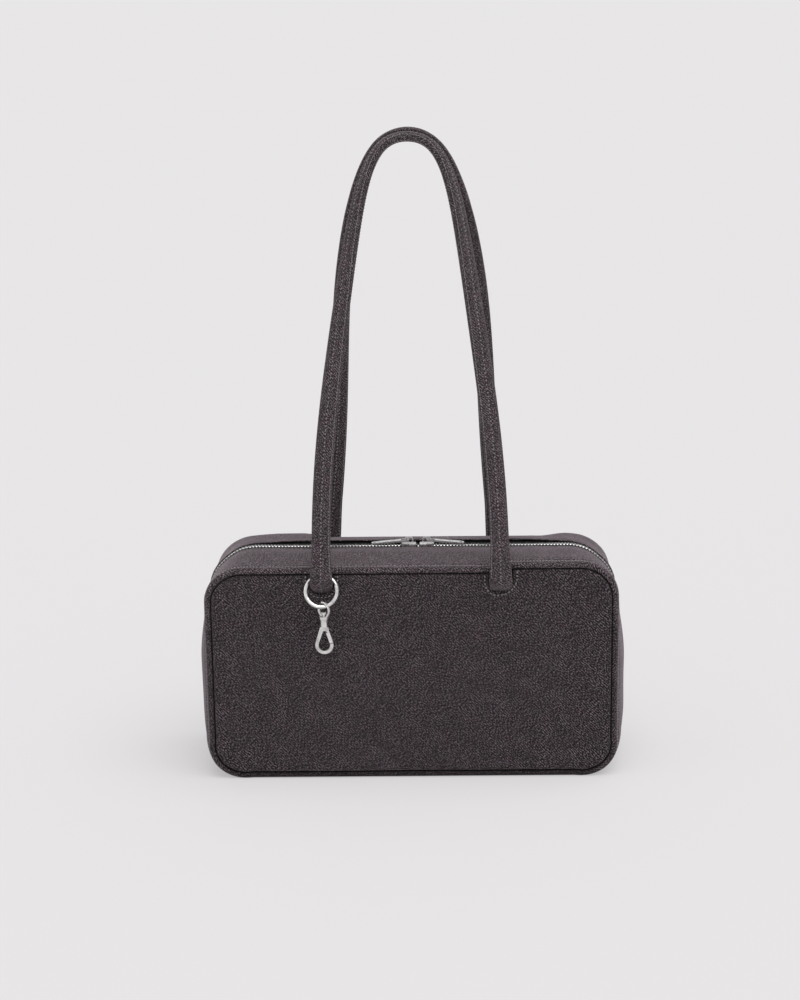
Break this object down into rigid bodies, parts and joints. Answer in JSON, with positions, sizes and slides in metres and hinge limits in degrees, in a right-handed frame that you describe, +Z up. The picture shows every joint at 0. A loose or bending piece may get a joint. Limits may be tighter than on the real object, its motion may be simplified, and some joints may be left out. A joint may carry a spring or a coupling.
{
  "type": "bowler bag",
  "caption": "Long, low cloth bowler bag with a two-way metal zip over the top, tall stuffed shoulder straps and a swivel clip on a ring.",
  "frame": {"origin": "middle of the base, on the surface it stands on", "axes": "+X along the width to the viewer's right, -Y out of the front panel with the clip, +Z up"},
  "size_m": [0.33, 0.1247, 0.4889],
  "materials": {
    "cloth": "washed twill",
    "lining": "plain weave",
    "foam": "matte",
    "board": "matte",
    "tape": "woven",
    "filling": "matte",
    "metal": "satin"
  },
  "bodies": {
    "bag": {"front_panel": "cloth", "back_panel": "cloth", "lower_gusset": "cloth", "zip_gusset_front": "cloth", "zip_gusset_back": "cloth", "zip_tape_front": "tape", "zip_tape_back": "tape", "zip_teeth_front": "metal", "zip_teeth_back": "metal", "front_foam": "foam", "back_foam": "foam", "side_foam_left": "foam", "side_foam_right": "foam", "base_board": "board", "lining_front": "lining", "lining_back": "lining", "lining_gusset": "lining", "lining_top_front": "lining", "lining_top_back": "lining", "strap_end_front_left": "cloth", "strap_end_front_right": "cloth", "strap_end_back_left": "cloth", "strap_end_back_right": "cloth"},
    "slider_left": {"slider_left": "metal"},
    "slider_right": {"slider_right": "metal"},
    "pull_left": {"slider_left_pull": "metal"},
    "pull_right": {"slider_right_pull": "metal"},
    "strap_front": {"strap_front_sleeve": "cloth", "strap_front_filler": "filling"},
    "strap_back": {"strap_back_sleeve": "cloth", "strap_back_filler": "filling"},
    "ring": {"ring": "metal"},
    "clip_eye": {"clip_eye": "metal"},
    "clip_hook": {"clip_hook": "metal", "clip_gate_pin": "metal"},
    "clip_gate": {"clip_gate": "metal"}
  },
  "joints": [
    {"name": "slider_left_slide", "type": "slide", "parent": "bag", "child": "slider_left", "axis": [-1, 0, 0], "range_m": [0, 0.11], "deforming": ["zip_teeth_front", "zip_teeth_back"]},
    {"name": "slider_right_slide", "type": "slide", "parent": "bag", "child": "slider_right", "axis": [1, 0, 0], "range_m": [0, 0.103], "deforming": ["zip_teeth_front", "zip_teeth_back"]},
    {"name": "pull_left_hinge", "type": "hinge", "parent": "slider_left", "child": "pull_left", "pos_m": [-0.0029, 0, 0.1764], "axis": [0, 1, 0], "range_deg": [0, 150]},
    {"name": "pull_right_hinge", "type": "hinge", "parent": "slider_right", "child": "pull_right", "pos_m": [0.0119, 0, 0.1764], "axis": [0, -1, 0], "range_deg": [0, 150]},
    {"name": "strap_front_hinge", "type": "hinge", "parent": "bag", "child": "strap_front", "pos_m": [0, -0.0553, 0.152], "axis": [1, 0, 0], "range_deg": [0, 96]},
    {"name": "strap_back_hinge", "type": "hinge", "parent": "bag", "child": "strap_back", "pos_m": [0, 0.0553, 0.152], "axis": [-1, 0, 0], "range_deg": [0, 110]},
    {"name": "ring_hinge", "type": "hinge", "parent": "bag", "child": "ring", "pos_m": [-0.0675, -0.0504, 0.1635], "axis": [-1, 0, 0], "range_deg": [0, 5]},
    {"name": "clip_eye_hinge", "type": "hinge", "parent": "ring", "child": "clip_eye", "pos_m": [-0.0657, -0.0597, 0.14159], "axis": [-1, 0, 0], "range_deg": [0, 24]},
    {"name": "clip_swivel", "type": "hinge", "parent": "clip_eye", "child": "clip_hook", "pos_m": [-0.0657, -0.0597, 0.13199], "axis": [0, 0, 1], "continuous": true},
    {"name": "clip_gate_hinge", "type": "hinge", "parent": "clip_hook", "child": "clip_gate", "pos_m": [-0.06352, -0.0597, 0.12409], "axis": [0, 1, 0], "range_deg": [0, 25], "stiffness_Nm_per_rad": 0.004, "springref_deg": -17.19}
  ]
}
